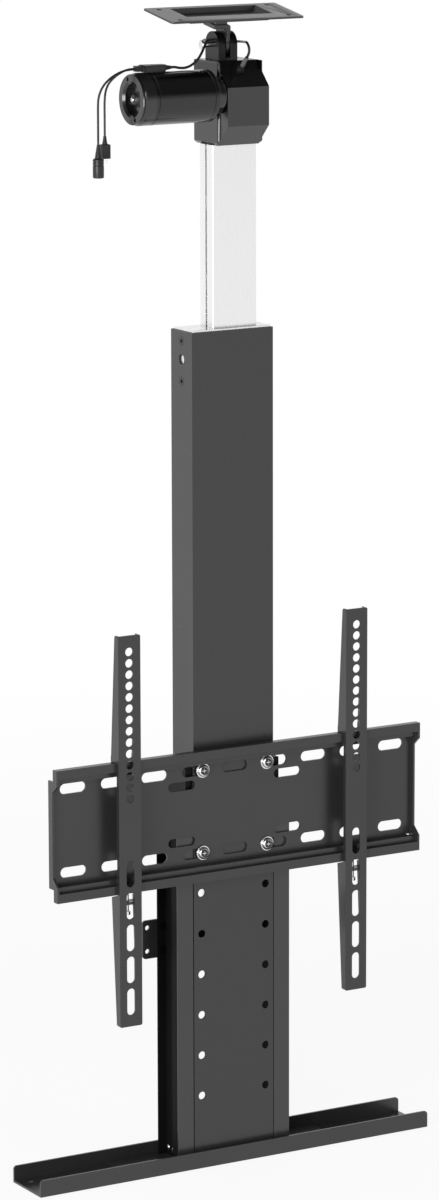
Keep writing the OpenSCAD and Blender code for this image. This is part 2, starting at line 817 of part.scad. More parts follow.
module spindle_bearing() {
  color(zinc) difference() {
    rod_z(bearing_z, bearing_z + bearing_h, bearing_r, [tube_x, 0]);
    rod_z(bearing_z - 1, bearing_z + bearing_h + 1, spindle_r + fit, [tube_x, 0]);
  }
}

module spindle() {
  color(zinc) rod_z(spindle_z0, journal_top, spindle_r, [tube_x, 0]);
}

function tooth_ring(teeth, root, tip) = [for (k = [0:teeth - 1], c = [[0, root], [0.28, root],
  [0.4, tip], [0.88, tip]]) c[1] * [cos(360 * (k + c[0]) / teeth), sin(360 * (k + c[0]) / teeth)]];

module worm_wheel() {
  hub_z = bearing_z + bearing_h + gap;
  color("peru") difference() {
    union() {
      translate([tube_x, 0, worm_z - wheel_h / 2]) linear_extrude(wheel_h)
        polygon(tooth_ring(32, wheel_r - 2.2, wheel_r));
      rod_z(hub_z, worm_z, spindle_r + 4, [tube_x, 0]);
    }
    rod_z(hub_z - 1, worm_z + wheel_h, spindle_r + fit / 2, [tube_x, 0]);
  }
}

// Motor, along X at the height of the worm

module motor_flange() {
  at = [worm_y, worm_z];
  color(charcoal) difference() {
    rod_x(can_x1, gear_x0, collar_r, at);
    rod_x(can_x1 - 1, gear_x0 + 1, shaft_r + fit, at);
    rod_x(can_x1 + 3, gear_x0 - 3, collar_r - 6, at);
  }
}

module motor_can() {
  at = [worm_y, worm_z];
  color(black) difference() {
    rod_x(can_x0, can_x1, motor_r, at);
    rod_x(can_x0 - 1, can_x1 - 3, motor_r - can_t, at);
    rod_x(can_x1 - 5, can_x1 + 1, 8, at);
  }
}

// Places of the two through bolts on the motor's end face, [y, z]
cap_bolt_at = [for (turn = [70, 250]) [worm_y, worm_z] + 22.5 * [cos(turn), sin(turn)]];

module motor_end_cap() {
  at = [worm_y, worm_z];
  bevel = 2.5;
  color(black) difference() {
    union() {
      rod_x(cap_x0 + bevel, can_x0, motor_r, at);
      translate([cap_x0, worm_y, worm_z]) rotate([0, 90, 0])
        cylinder(h = bevel, r1 = motor_r - bevel, r2 = motor_r);
      rod_x(can_x0, can_x0 + 3, motor_r - can_t - fit, at);
    }
    rod_x(cap_x0 - 1, cap_x0 + 8, 17, at);
    rod_x(cap_x0 - 1, can_x0 + 4, shaft_r + fit, at);
    for (bolt = cap_bolt_at) rod_x(cap_x0 - 1, cap_x0 + 5, 2.2 + fit, bolt);
  }
}

module motor_screws() {
  color(dark_steel) for (bolt = cap_bolt_at) rod_x(cap_x0 + 1.5, cap_x0 + 5, 2.2, bolt);
}

module motor_magnets() {
  color(dark_steel) for (s = [0, 1]) translate([can_x0 + 12, worm_y, worm_z]) mirror([0, 0, s])
    rotate([90, 0, 90]) linear_extrude(motor_len - 24) difference() {
      circle(motor_r - can_t - fit);
      circle(magnet_in);
      rotate(180) translate([-motor_r, -6]) square([2 * motor_r, motor_r]);
    }
}

module rotor_shaft() {
  color(zinc) rod_x(cap_x0 + 5, gear_x1 - 6, shaft_r, [worm_y, worm_z]);
}

module armature() {
  color("peru") translate([can_x0 + 18, worm_y, worm_z]) rotate([90, 0, 90])
    linear_extrude(motor_len - 40) difference() {
      circle(armature_r);
      circle(shaft_r + fit / 2);
      for (k = [0:9]) rotate(36 * k) translate([armature_r - 4, -1.5]) square([5, 3]);
    }
}

module commutator() {
  color("peru") difference() {
    rod_x(can_x0 + 5, can_x0 + 16, 8.5, [worm_y, worm_z]);
    rod_x(can_x0 + 4, can_x0 + 17, shaft_r + fit / 2, [worm_y, worm_z]);
  }
}

module worm() {
  len = 32;
  turns = 7;
  step = len / turns;
  color(zinc) translate([tube_x - len / 2, worm_y, worm_z]) rotate([0, 90, 0]) rotate_extrude()
    polygon(concat([[shaft_r + fit / 2, 0]],
      [for (k = [0:turns - 1], c = [[0, 0.2], [1, 0.35], [1, 0.65], [0, 0.8]])
        [worm_r - 2 + 2 * c[0], (k + c[1]) * step]],
      [[worm_r - 2, len], [shaft_r + fit / 2, len]]));
}

// Pivot on the gearbox and the tilting top plate

module clevis_fork() {
  color(charcoal) difference() {
    wall_yz(-fork_out, fork_out) union() {
      translate([-ear_r, gear_top]) square([2 * ear_r, pin_z - gear_top]);
      translate([0, pin_z]) circle(ear_r);
    }
    block([-slot_half, -ear_r - 1, gear_top + fork_base], [slot_half, ear_r + 1, pin_z + ear_r + 1]);
    rod_x(-fork_out - 1, fork_out + 1, pin_r + fit, [0, pin_z]);
    for (at = fork_screw_at) rod_z(gear_top - 1, fork_screw_top + 1, 2 + fit, at);
  }
}

// Screws up through the gearbox cover into the fork's prongs
module fork_screws() {
  color(zinc) for (at = fork_screw_at) {
    rod_z(fork_screw_seat - 2.6, fork_screw_seat, 3.6, at);
    rod_z(fork_screw_seat, fork_screw_top, 2, at);
  }
}

module pivot_bolt() {
  head_x = -fork_out - 14.4;
  head_len = 2.4;
  color(zinc) {
    rod_x(head_x, head_x + head_len, 5, [0, pin_z]);
    rod_x(head_x + head_len, fork_out + 6.5, pin_r, [0, pin_z]);
  }
}

module pivot_nut() {
  color(zinc) difference() {
    translate([fork_out, 0, pin_z]) rotate([0, 90, 0]) hex(10, 5);
    rod_x(fork_out - 1, fork_out + 6, pin_r + fit, [0, pin_z]);
  }
}

// Turns a level piece about the pin to the tilt that the plate is set to
module tilted() {
  translate([0, 0, pin_z]) rotate([top_tilt, 0, 0]) children();
}

dish_floor = top_rise - dish_h;
flange_top = dish_floor - spacer_h;
flange_low = flange_top - flange_h;

// A bent bracket: its flange lies under the dish and its one leg stands in the fork's slot
module top_bracket() {
  bend_r = 3.5;
  color(charcoal) tilted() difference() {
    union() {
      wall_xz(-leg_half_y, leg_half_y) union() {
        translate([flange_x0, flange_low]) square([leg_out - bend_r - flange_x0, flange_h]);
        translate([leg_out - bend_r, flange_top - bend_r]) circle(bend_r);
        translate([leg_out - leg_t, 0]) square([leg_t, flange_top - bend_r]);
      }
      wall_yz(leg_out - leg_t, leg_out) circle(leg_r);
      rod_x(-leg_out, leg_out - leg_t, pin_r + 3);
      block([flange_x0 + spacer_inset, spacer_inset - leg_half_y, flange_top],
        [leg_out - bend_r, leg_half_y - spacer_inset, dish_floor]);
    }
    rod_x(-leg_out - 1, leg_out + 1, pin_r + fit);
  }
}

// The pressed dish narrows on each side from its mouth to its floor
end_draft = 6.5;
side_draft = 1.5;

// Half of the dish's section, from the floor up past the plate's top face
function trough(half, draft, lower, top) = [[-half, top], [-half, top_rise], [draft - half, lower],
  [half - draft, lower], [half, top_rise], [half, top]];

module dish(grow, lower, top) {
  intersection() {
    wall_xz(-top_d, top_d) polygon(trough(dish_w / 2 + grow, end_draft, lower, top));
    wall_yz(-top_w, top_w) translate([dish_back, 0])
      polygon(trough(dish_d / 2 + grow, side_draft, lower, top));
  }
}

module top_plate() {
  color(charcoal) tilted() difference() {
    union() {
      translate([0, 0, top_rise - top_t]) linear_extrude(top_t) round_rect(top_w, top_d, 3);
      dish(top_t, dish_floor, top_rise);
    }
    dish(0, dish_floor + top_t, top_rise + 1);
    for (sx = [-1, 1], sy = [-1, 1])
      rod_z(top_rise - top_t - 1, top_rise + 1, top_hole_d / 2, [sx * top_hole_x / 2, sy * top_hole_y / 2]);
  }
}

// TV plate

// One half of the sheet's side view: the web, a jog forwards and a folded hem
module plate_fold() {
  hem_back = plate_front + hem_depth;
  translate([web_y - plate_t, 0]) square([plate_t, plate_h / 2 - hem_h]);
  translate([hem_back - plate_t, plate_h / 2 - hem_h - plate_t])
    square([web_y - hem_back + plate_t, plate_t]);
  translate([hem_back - plate_t, plate_h / 2 - hem_h - plate_t]) square([plate_t, hem_h + plate_t]);
  translate([plate_front, plate_h / 2 - plate_t]) square([hem_depth, plate_t]);
  translate([plate_front, plate_h / 2 - lip_h]) square([plate_t, lip_h]);
}

// One half of each end flange's outline
function flange_half() = let (hem_back = plate_front + hem_depth, web_half = plate_h / 2 - hem_h)
  [[web_y, 0], [web_y, web_half], [hem_back, web_half], [hem_back, plate_h / 2],
   [plate_front, plate_h / 2], [plate_front, web_half - 4], [web_y - plate_t - 6, web_half - 13],
   [web_y - plate_t - 6, 0]];

module tv_plate() {
  relief = 5;
  half = plate_w / 2;
  color(charcoal) difference() {
    for (s = [0, 1]) translate([0, 0, plate_z]) mirror([0, 0, s]) {
      wall_yz(-half + plate_t, half - plate_t) plate_fold();
      both_sides() wall_yz(half - plate_t, half) polygon(flange_half());
    }
    for (z = [low_row, high_row], k = [-4:4])
      wall_xz(web_y - plate_t - 1, web_y + 1) translate([k * slot_pitch, z]) slot_x(slot_len, slot_w);
    for (s = [-1, 1], z = [low_row + inner_slot_up, high_row - inner_slot_up])
      wall_xz(web_y - plate_t - 1, web_y + 1)
        translate([s * inner_slot_x, z]) slot_x(inner_slot_len, inner_slot_w);
    both_sides() for (s = [-1, 1])
      translate([half - plate_t - relief, web_y - plate_t - 5,
        plate_z + s * (plate_h / 2 - hem_h) - relief / 2])
        cube([relief, 6 + plate_t, relief]);
  }
}

module at_bolts() {
  for (s = [-1, 1], z = [low_row, high_row]) translate([s * hole_x / 2, 0, z]) children();
}

module plate_bolts() {
  y1 = web_y - plate_t - washer_t;
  color(zinc) at_bolts() difference() {
    union() {
      rod_y(y1, web_y + col_t + nut_h + 2.5, bolt_r);
      rod_y(y1 - head_h, y1, head_r);
    }
    translate([0, y1 - head_h + 2.2, 0]) rotate([90, 0, 0]) hex(5, 3);
  }
}

module plate_washers() {
  y1 = web_y - plate_t;
  color(zinc) at_bolts() difference() {
    rod_y(y1 - washer_t, y1, washer_r);
    rod_y(y1 - washer_t - 1, y1 + 1, bolt_r + slack);
  }
}

module plate_nuts() {
  y0 = web_y + col_t;
  color(zinc) at_bolts() difference() {
    translate([0, y0, 0]) rotate([-90, 0, 0]) hex(3.25 * bolt_r, nut_h);
    rod_y(y0 - 1, y0 + nut_h + 1, bolt_r + fit);
  }
}

// Arms. The outline is a side wall's, [y, z].
module arm_side(x0) {
  back = arm_face + arm_depth;
  end_back = arm_face + arm_end_depth;
  rest_y = plate_front - 0.4;
  hem_back = plate_front + hem_depth + gap;
  wall_yz(x0, x0 + arm_t) union() {
    polygon([[arm_face, arm_z], [end_back, arm_z], [back, plate_z0 - 4.5], [rest_y, plate_z0 - gap],
      [rest_y, plate_z1 + gap], [back, plate_z1 + gap], [end_back, arm_z1], [arm_face, arm_z1]]);
    translate([hem_back, plate_z1 - hem_h + 2]) square([hook_t, hem_h + 4]);
  }
}

module arm(x) {
  low = x - arm_w / 2;
  high = x + arm_w / 2;
  shelf_back = lock_y + 5;
  color(charcoal) difference() {
    union() {
      wall_xz(arm_face, arm_face + arm_t) translate([x, (arm_z + arm_z1) / 2]) round_rect(arm_w, arm_len, 2);
      intersection() {
        union() {
          arm_side(low);
          arm_side(high - arm_t);
        }
        wall_xz(arm_face - 1, 0) translate([x, (arm_z + arm_z1) / 2]) round_rect(arm_w, arm_len, 2);
      }
      block([low, arm_face, lock_z], [high, shelf_back, lock_z + 3]);
    }
    for (k = [0:arm_holes - 1])
      rod_y(arm_face - 1, arm_face + arm_t + 1, arm_hole_d / 2, [x, arm_z1 - arm_hole_top - k * arm_pitch]);
    for (k = [0:arm_slots - 1])
      wall_xz(arm_face - 1, arm_face + arm_t + 0.4)
        translate([x, arm_z + arm_slot_z + arm_slot_len / 2 + k * arm_slot_pitch])
          slot_z(arm_slot_len, arm_slot_w);
    rod_z(lock_z - 1, lock_z + 4, lock_r + fit, [x, lock_y]);
  }
}

module lock_screw(x) {
  color(zinc) {
    rod_z(lock_z - 8, plate_z0 - gap, lock_r, [x, lock_y]);
    rod_z(lock_z - 12, lock_z - 8, lock_r + 1.7, [x, lock_y]);
  }
}

module left_arm() {
  arm(-arm_spacing / 2);
}

module right_arm() {
  arm(arm_spacing / 2);
}

module left_lock_screw() {
  lock_screw(-arm_spacing / 2);
}

module right_lock_screw() {
  lock_screw(arm_spacing / 2);
}

// Cables

module gland_place() {
  translate(gland_at) rotate([gland_lean, 0, 0]) children();
}

module cable_gland() {
  color(black) gland_place() {
    translate([0, 0, -gland_root]) cylinder(h = gland_root + gland_len, r = gland_r);
    hex(8, 3.5);
  }
}

module gland_sleeve() {
  color([0.7, 0.7, 0.7]) gland_place() translate([0, 0, gland_len])
    cylinder(h = sleeve_len, r1 = 2.5, r2 = 2);
}

module power_cable() {
  color(black) swept_tube(power_path, cable_d, 8, [1, 0, 0]);
}

module plug_lead() {
  color(black) swept_tube(plug_path, lead_d, 8);
}

module socket_lead() {
  color(black) swept_tube(socket_path, lead_d, 8);
}

module y_splitter() {
  body = split_x1 - split_x0;
  color(black) translate(placed([split_x0, split_y, -3])) {
    translate([0, 0, -split_half_h]) linear_extrude(2 * split_half_h)
      polygon([[body, -4.3], [body, 4.3], [0, 8.3], [0, -8.3]]);
    translate([body, 0, 0]) rotate([0, 90, 0]) cylinder(h = 9, r1 = 3.2, r2 = 1.7);
    translate([-9, -4.2, -2.8]) cube([9, 8.4, 5.6]);
  }
}

module plug_connector() {
  end = plug_path[len(plug_path) - 1];
  color(black) translate(end) {
    translate([0, 0, -9]) cylinder(h = 9, r1 = 3, r2 = 1.6);
    translate([0, 0, -24]) linear_extrude(15) round_rect(10.5, 7, 1.5);
    for (s = [-2, 2]) translate([s, 0, -28.5]) cylinder(h = 4.5, r = 0.8);
  }
}

module socket_connector() {
  end = socket_path[len(socket_path) - 1];
  color(black) translate(end) difference() {
    union() {
      translate([0, 0, -14]) cylinder(h = 14, r1 = 4, r2 = 1.6);
      translate([0, 0, -35]) cylinder(h = 21, r = 6);
    }
    translate([0, 0, -36]) cylinder(h = 11, r = 3.2);
  }
}

base_channel();
foot_plate();
guide_rail_left();
guide_rail_right();
wall_bracket();
bracket_screws();
foot_screws();
rod_foot();
rod_pin();
lift_rod();
spindle_nut();
slide_stage_left();
slide_stage_right();
stage_glides_left();
stage_glides_right();
inner_column();
column_runner_left();
column_runner_right();
clamp_block();
clamp_screws();
actuator_tube();
tube_end_bush();
limit_strip();
gearbox_housing();
gearbox_cover();
gearbox_screws();
clevis_fork();
fork_screws();
pivot_bolt();
pivot_nut();
motor_flange();
motor_can();
motor_end_cap();
motor_screws();
motor_magnets();
spindle_bearing();
tv_plate();
plate_bolts();
plate_washers();
plate_nuts();
cable_gland();
gland_sleeve();
power_cable();
y_splitter();
plug_lead();
socket_lead();
plug_connector();
socket_connector();
spindle();
worm_wheel();
rotor_shaft();
armature();
commutator();
worm();
top_plate();
top_bracket();
left_arm();
right_arm();
left_lock_screw();
right_lock_screw();
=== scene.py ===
import json
import math

import bpy
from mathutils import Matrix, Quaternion, Vector


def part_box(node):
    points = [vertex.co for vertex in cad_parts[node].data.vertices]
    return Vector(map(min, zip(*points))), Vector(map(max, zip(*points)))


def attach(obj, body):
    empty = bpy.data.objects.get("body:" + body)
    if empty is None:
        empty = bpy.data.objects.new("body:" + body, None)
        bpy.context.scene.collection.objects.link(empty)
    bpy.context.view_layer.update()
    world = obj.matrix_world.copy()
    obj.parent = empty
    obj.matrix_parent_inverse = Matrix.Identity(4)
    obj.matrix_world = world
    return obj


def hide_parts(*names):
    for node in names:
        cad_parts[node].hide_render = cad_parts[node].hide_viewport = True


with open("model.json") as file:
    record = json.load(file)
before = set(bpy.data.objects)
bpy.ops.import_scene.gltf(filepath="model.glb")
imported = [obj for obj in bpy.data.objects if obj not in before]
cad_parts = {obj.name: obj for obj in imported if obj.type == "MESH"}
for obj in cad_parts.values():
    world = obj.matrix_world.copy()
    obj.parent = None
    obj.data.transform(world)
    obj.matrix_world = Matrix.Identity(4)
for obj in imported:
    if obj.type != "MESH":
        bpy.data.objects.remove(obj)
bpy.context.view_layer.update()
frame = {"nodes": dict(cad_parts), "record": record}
nodes = frame["nodes"]
mm = 0.001
print("frame loaded:", len(nodes), "CAD nodes")


def deselectAll():
    if bpy.context.object and bpy.context.object.mode != "OBJECT":
        bpy.ops.object.mode_set(mode="OBJECT")
    bpy.ops.object.select_all(action="DESELECT")


# Camera

cameraSettings = {
    "target": Vector((-4.05, 0, 634.8)) * mm,
    "distance": 5.268,
    "yaw": 30.43,          # degrees to the left of straight on
    "pitch": 11.18,        # degrees above the horizon
    "roll": -0.15,
    "lens": 144.0,
    "sensor": 36,          # mm along the photo's long side
    "clip": (0.5, 60),     # nearest and farthest metres that it sees
}


def placeCamera(settings):
    yaw, pitch = math.radians(settings["yaw"]), math.radians(settings["pitch"])
    back = Vector((-math.sin(yaw) * math.cos(pitch), -math.cos(yaw) * math.cos(pitch), math.sin(pitch)))
    bpy.ops.object.camera_add(location=settings["target"] + back * settings["distance"])
    camera = bpy.context.object
    camera.name = "camera"
    camera.rotation_mode = "QUATERNION"
    roll = Quaternion((0, 0, 1), math.radians(settings["roll"]))
    camera.rotation_quaternion = (-back).to_track_quat("-Z", "Y") @ roll
    camera.data.lens = settings["lens"]
    camera.data.sensor_width = settings["sensor"]
    camera.data.clip_start, camera.data.clip_end = settings["clip"]
    bpy.context.scene.camera = camera


deselectAll()
placeCamera(cameraSettings)
print("camera placed")


# Shader nodes

noiseRange = (0.3, 0.7)            # most of a noise texture's values lie in here
grainDepth = 0.03 * mm
streakDepth = 0.04 * mm


def newMaterial(name):
    material = bpy.data.materials.new(name)
    material.use_nodes = True
    return material, material.node_tree, material.node_tree.nodes["Principled BSDF"]


# a value is a number or another node's output
def feed(tree, value, socket):
    if isinstance(value, (int, float)):
        socket.default_value = value
    else:
        tree.links.new(value, socket)


def workedOut(tree, operation, first, second=0.0):
    step = tree.nodes.new("ShaderNodeMath")
    step.operation = operation
    feed(tree, first, step.inputs[0])
    feed(tree, second, step.inputs[1])
    return step.outputs["Value"]


def ramped(tree, source, low, high, atLow, atHigh):
    ramp = tree.nodes.new("ShaderNodeMapRange")
    ramp.inputs["From Min"].default_value = low
    ramp.inputs["From Max"].default_value = high
    ramp.inputs["To Min"].default_value = atLow
    ramp.inputs["To Max"].default_value = atHigh
    tree.links.new(source, ramp.inputs["Value"])
    return ramp.outputs["Result"]


# sockets 2 and 3 of a Mix node blend numbers
def blendValues(tree, factor, first, second):
    mix = tree.nodes.new("ShaderNodeMix")
    feed(tree, factor, mix.inputs[0])
    feed(tree, first, mix.inputs[2])
    feed(tree, second, mix.inputs[3])
    return mix.outputs[0]


# and its sockets 6 and 7 blend colours
def blendColours(tree, factor, first, second):
    mix = tree.nodes.new("ShaderNodeMix")
    mix.data_type = "RGBA"
    feed(tree, factor, mix.inputs[0])
    mix.inputs[6].default_value = (*first, 1)
    mix.inputs[7].default_value = (*second, 1)
    return mix.outputs[2]


def objectPlace(tree):
    return tree.nodes.new("ShaderNodeTexCoord").outputs["Object"]


# the scale is in waves per metre
def noiseOver(tree, place, scale, detail, roughness):
    noise = tree.nodes.new("ShaderNodeTexNoise")
    noise.inputs["Scale"].default_value = scale
    noise.inputs["Detail"].default_value = detail
    noise.inputs["Roughness"].default_value = roughness
    tree.links.new(place, noise.inputs["Vector"])
    return noise.outputs["Fac"]


# roughness that a noise moves by play to either side of its middle
def unevenRoughness(tree, source, middle, play):
    return ramped(tree, source, *noiseRange, middle - play, middle + play)


def bumpFrom(tree, shader, height, distance):
    bump = tree.nodes.new("ShaderNodeBump")
    bump.inputs["Strength"].default_value = 1.0
    bump.inputs["Distance"].default_value = distance
    tree.links.new(height, bump.inputs["Height"])
    tree.links.new(bump.outputs["Normal"], shader.inputs["Normal"])


def scaled(colour, factor):
    return tuple(factor * part for part in colour)


# Materials

def paintedSteel(name, colour, roughness, grainScale, specular):
    material, tree, shader = newMaterial(name)
    cloudy = noiseOver(tree, objectPlace(tree), scale=14, detail=2, roughness=0.55)
    fine = noiseOver(tree, objectPlace(tree), scale=grainScale, detail=2, roughness=0.6)
    darker, lighter = scaled(colour, 0.92), scaled(colour, 1.06)
    tint = blendColours(tree, ramped(tree, cloudy, *noiseRange, 0, 1), darker, lighter)
    tree.links.new(tint, shader.inputs["Base Color"])
    tree.links.new(unevenRoughness(tree, fine, roughness, play=0.05), shader.inputs["Roughness"])
    shader.inputs["Specular IOR Level"].default_value = specular
    bumpFrom(tree, shader, fine, grainDepth)
    return material


coatScale = 1400           # of a powder coat's grain
shadedGloss = 0.08         # the part of its gloss that a face with painted shade keeps
shadedRoughness = 0.8


# steel that is powder coated outside, with painted shade: black and matt, as if in shade, behind one depth
# and nearer to the middle plane than halfWidth
def shadePaintedSteel(name, front, behind, depth, halfWidth, roughness, specular):
    material, tree, shader = newMaterial(name)
    split = tree.nodes.new("ShaderNodeSeparateXYZ")
    tree.links.new(objectPlace(tree), split.inputs["Vector"])
    back = workedOut(tree, "GREATER_THAN", split.outputs["Y"], depth)
    aside = workedOut(tree, "ABSOLUTE", split.outputs["X"])
    shaded = workedOut(tree, "MULTIPLY", back, workedOut(tree, "LESS_THAN", aside, halfWidth))
    # the shaded part's black colour and dimmed gloss are painted shade
    tree.links.new(blendColours(tree, shaded, front, behind), shader.inputs["Base Color"])
    shader.inputs["Specular IOR Level"].default_value = specular
    white = (1, 1, 1)
    shine = blendColours(tree, shaded, white, scaled(white, shadedGloss))
    tree.links.new(shine, shader.inputs["Specular Tint"])
    grain = noiseOver(tree, objectPlace(tree), scale=coatScale, detail=2, roughness=0.6)
    coated = unevenRoughness(tree, grain, roughness, play=0.05)
    tree.links.new(blendValues(tree, shaded, coated, shadedRoughness), shader.inputs["Roughness"])
    bumpFrom(tree, shader, grain, grainDepth)
    return material


# streak is the noise's scale along X, Y and Z, so a low number draws it out that way
def bareMetal(name, colour, roughness, streak, metallic=1.0):
    material, tree, shader = newMaterial(name)
    stretch = tree.nodes.new("ShaderNodeMapping")
    stretch.inputs["Scale"].default_value = streak
    tree.links.new(objectPlace(tree), stretch.inputs["Vector"])
    lines = noiseOver(tree, stretch.outputs["Vector"], scale=1, detail=4, roughness=0.5)
    tree.links.new(blendColours(tree, lines, scaled(colour, 0.9), colour), shader.inputs["Base Color"])
    tree.links.new(unevenRoughness(tree, lines, roughness, play=0.06), shader.inputs["Roughness"])
    shader.inputs["Metallic"].default_value = metallic
    bumpFrom(tree, shader, lines, streakDepth)
    return material


def glossPaint(name, colour, roughness, specular):
    material, tree, shader = newMaterial(name)
    ripple = noiseOver(tree, objectPlace(tree), scale=260, detail=2, roughness=0.55)
    speck = noiseOver(tree, objectPlace(tree), scale=30, detail=3, roughness=0.55)
    tree.links.new(blendColours(tree, speck, scaled(colour, 0.85), colour), shader.inputs["Base Color"])
    tree.links.new(unevenRoughness(tree, speck, roughness, play=0.03), shader.inputs["Roughness"])
    shader.inputs["Specular IOR Level"].default_value = specular
    bumpFrom(tree, shader, ripple, grainDepth)
    return material


plasticGloss = 0.4


def mouldedPlastic(name, colour, roughness):
    material, tree, shader = newMaterial(name)
    grain = noiseOver(tree, objectPlace(tree), scale=1600, detail=2, roughness=0.55)
    patch = noiseOver(tree, objectPlace(tree), scale=60, detail=2, roughness=0.55)
    tree.links.new(blendColours(tree, patch, scaled(colour, 0.88), colour), shader.inputs["Base Color"])
    tree.links.new(unevenRoughness(tree, patch, roughness, play=0.05), shader.inputs["Roughness"])
    shader.inputs["Specular IOR Level"].default_value = plasticGloss
    bumpFrom(tree, shader, grain, grainDepth)
    return material


# a name, a colour and a roughness, and then what each function adds
finishes = {
    "powder_coated_steel": paintedSteel("powderCoat", (0.028, 0.028, 0.029), 0.3, coatScale, 0.62),
    "painted_casting": glossPaint("castPaint", (0.007, 0.007, 0.0075), 0.2, 0.8),
    "zinc_plated_steel": bareMetal("zincPlate", (0.8, 0.81, 0.83), 0.24, (200, 200, 200)),
    "bright_steel": bareMetal("brightSteel", (0.7, 0.7, 0.71), 0.18, (900, 900, 30)),
    "dark_steel": paintedSteel("darkSteel", (0.02, 0.02, 0.021), 0.35, 900, 0.5),
    "bare_aluminium": bareMetal("bareAluminium", (0.95, 0.95, 0.955), 0.28, (1500, 1500, 12), 0.9),
    "gloss_black_motor": glossPaint("motorPaint", (0.002, 0.002, 0.0022), 0.12, 0.62),
    "bronze": bareMetal("bronze", (0.6, 0.42, 0.2), 0.3, (400, 400, 400)),
    "copper_winding": bareMetal("copperWinding", (0.5, 0.22, 0.1), 0.35, (40, 900, 900)),
    "nylon": mouldedPlastic("nylonGlide", (0.04, 0.04, 0.042), 0.5),
    "black_plastic": mouldedPlastic("blackPlastic", (0.02, 0.02, 0.021), 0.38),
    "grey_sleeve": mouldedPlastic("greySleeve", (0.16, 0.16, 0.165), 0.4),
    "circuit_board": mouldedPlastic("circuitBoard", (0.02, 0.16, 0.06), 0.4),
    "cable_jacket": mouldedPlastic("cableJacket", (0.012, 0.012, 0.013), 0.34),
}

# painted shade: the rails keep their light coat on the front of their lip alone, the column on its front and
# its outer sides, and behind that they are painted black as shade
lipSkin = 1.2 * mm
columnSkin = 1.0 * mm
wholeWidth = 1.0
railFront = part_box("guide_rail_left")[0].y
columnFront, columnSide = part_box("inner_column")[0].y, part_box("inner_column")[1].x
railPaintedShade = shadePaintedSteel("railSteelPaintedShade", (0.034, 0.034, 0.035), (0.006, 0.006, 0.0062), railFront + lipSkin,
                          wholeWidth, 0.3, 0.68)
columnPaintedShade = shadePaintedSteel("columnSteelPaintedShade", (0.028, 0.028, 0.029), (0.002, 0.002, 0.0021),
                            columnFront + columnSkin, columnSide - columnSkin, 0.3, 0.62)
# near-black gloss paint for the screws, stages and runners that sit in shade behind the rails and inside the
# column: painted shade
shadedSteel = glossPaint("shadedSteel", (0.004, 0.004, 0.0042), 0.4, 0.12)
# darker, less glossy copies of the cast paint for the cover and the fork: painted shade for the dark slope
# and faces that they show
coverPaintShaded = glossPaint("coverPaintShaded", (0.004, 0.004, 0.0043), 0.2, 0.5)
forkPaintShaded = glossPaint("forkPaintShaded", (0.003, 0.003, 0.0032), 0.3, 0.32)

# nodes whose look differs from the rest of their slot, all by painted shade: the rails and column black
# behind their fronts, the parts in and behind them near-black, the cover and fork darker
paintedShadeFinishes = {
    "guide_rail_left": railPaintedShade,
    "guide_rail_right": railPaintedShade,
    "inner_column": columnPaintedShade,
    "bracket_screws": shadedSteel,
    "slide_stage_left": shadedSteel,
    "slide_stage_right": shadedSteel,
    "column_runner_left": shadedSteel,
    "column_runner_right": shadedSteel,
    "gearbox_cover": coverPaintShaded,
    "clevis_fork": forkPaintShaded,
}
slotOf = {row["node"]: row["material_slot"] for row in frame["record"]["subparts"]}
for nodeName, node in nodes.items():
    node.data.materials.clear()
    node.data.materials.append(paintedShadeFinishes.get(nodeName, finishes[slotOf[nodeName]]))
print("finishes made:", len(finishes))


# Ways of making a piece

coarseSides = 24           # of the small round pieces


def extrudeBy(x, y, z):
    bpy.ops.mesh.extrude_region_move(TRANSFORM_OT_translate={"value": (x * mm, y * mm, z * mm)})


# rings are (distance along the axis, radius) in mm; the first distance is 0
def turnPiece(name, rings, place, along=(0, 0, 1), sides=48):
    deselectAll()
    reach, radius = rings[0]
    bpy.ops.mesh.primitive_circle_add(vertices=sides, radius=radius * mm, fill_type="NGON")
    piece = bpy.context.object
    piece.name = name
    bpy.ops.object.mode_set(mode="EDIT")
    bpy.ops.mesh.select_all(action="SELECT")
    for nextReach, nextRadius in rings[1:]:
        extrudeBy(0, 0, nextReach - reach)
        grow = nextRadius / radius
        bpy.ops.transform.resize(value=(grow, grow, 1))
        reach, radius = nextReach, nextRadius
    bpy.ops.mesh.select_all(action="SELECT")
    bpy.ops.mesh.normals_make_consistent(inside=False)
    bpy.ops.object.mode_set(mode="OBJECT")
    piece.rotation_mode = "QUATERNION"
    piece.rotation_quaternion = Vector(along).to_track_quat("Z", "Y")
    piece.location = place
    bpy.ops.object.transform_apply(location=True, rotation=True, scale=True)
    return piece


ribShape = ((0.0, 0), (0.55, 0), (0.65, 1), (0.9, 1))     # share of a rib's length, share of the groove


# a soft ribbed boot, from its first radius to its last
def ribRings(length, first, last, ribs, groove):
    rings = []
    for k in range(ribs):
        for part, sunk in ribShape:
            share = (k + part) / ribs
            rings.append((length * share, first + (last - first) * share - sunk * groove))
    rings.append((length, last))
    return rings


def startBlock(name, centre, size):
    deselectAll()
    bpy.ops.mesh.primitive_cube_add(size=1, location=centre)
    piece = bpy.context.object
    piece.name = name
    piece.scale = [side * mm for side in size]
    bpy.ops.object.transform_apply(location=True, rotation=False, scale=True)
    return piece


sameWay = 0.95             # the cosine over which a face counts as looking that way


# leaves the piece in edit mode with the faces that look one way selected
def pickFaces(piece, along):
    bpy.ops.object.mode_set(mode="EDIT")
    bpy.ops.mesh.select_mode(type="FACE")
    bpy.ops.mesh.select_all(action="DESELECT")
    bpy.ops.object.mode_set(mode="OBJECT")
    for face in piece.data.polygons:
        face.select = face.normal.dot(Vector(along)) > sameWay
    bpy.ops.object.mode_set(mode="EDIT")


